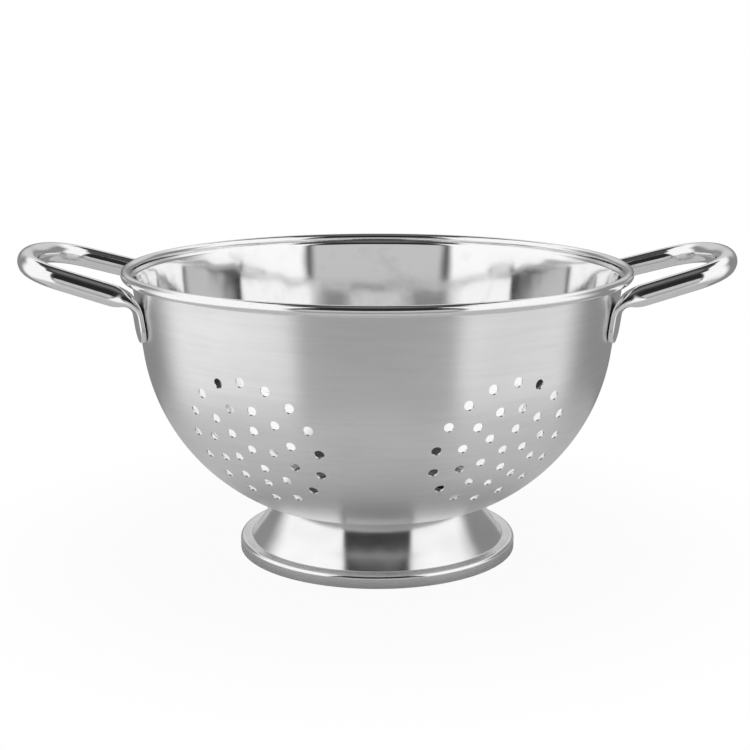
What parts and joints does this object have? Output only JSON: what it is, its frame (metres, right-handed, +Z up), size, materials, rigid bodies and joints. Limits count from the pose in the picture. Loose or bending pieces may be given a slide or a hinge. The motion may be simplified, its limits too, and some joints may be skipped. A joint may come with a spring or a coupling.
{
  "type": "colander",
  "caption": "Footed metal colander: a deep bowl with clusters of drain holes, a rolled rim, two looped tube handles and a conical foot ring.",
  "frame": {"origin": "centre of the foot ring's lower edge, on the surface the colander stands on", "axes": "+Z up along the bowl's axis, +X from the left handle to the right handle, +Y from the front to the back"},
  "size_m": [0.3366, 0.24, 0.1462],
  "materials": {
    "bowl_steel": "satin outside, mirror inside",
    "handle_steel": "mirror polished",
    "foot_steel": "polished cone, satin skirt",
    "wire_steel": "drawn wire, hidden in the rim",
    "weld_steel": "spot weld, hidden between the sheets"
  },
  "bodies": {
    "root": {"bowl": "bowl_steel", "rim_wire": "wire_steel", "foot_ring": "foot_steel", "left_handle": "handle_steel", "right_handle": "handle_steel", "left_handle_welds": "weld_steel", "right_handle_welds": "weld_steel", "foot_welds": "weld_steel"}
  },
  "joints": []
}
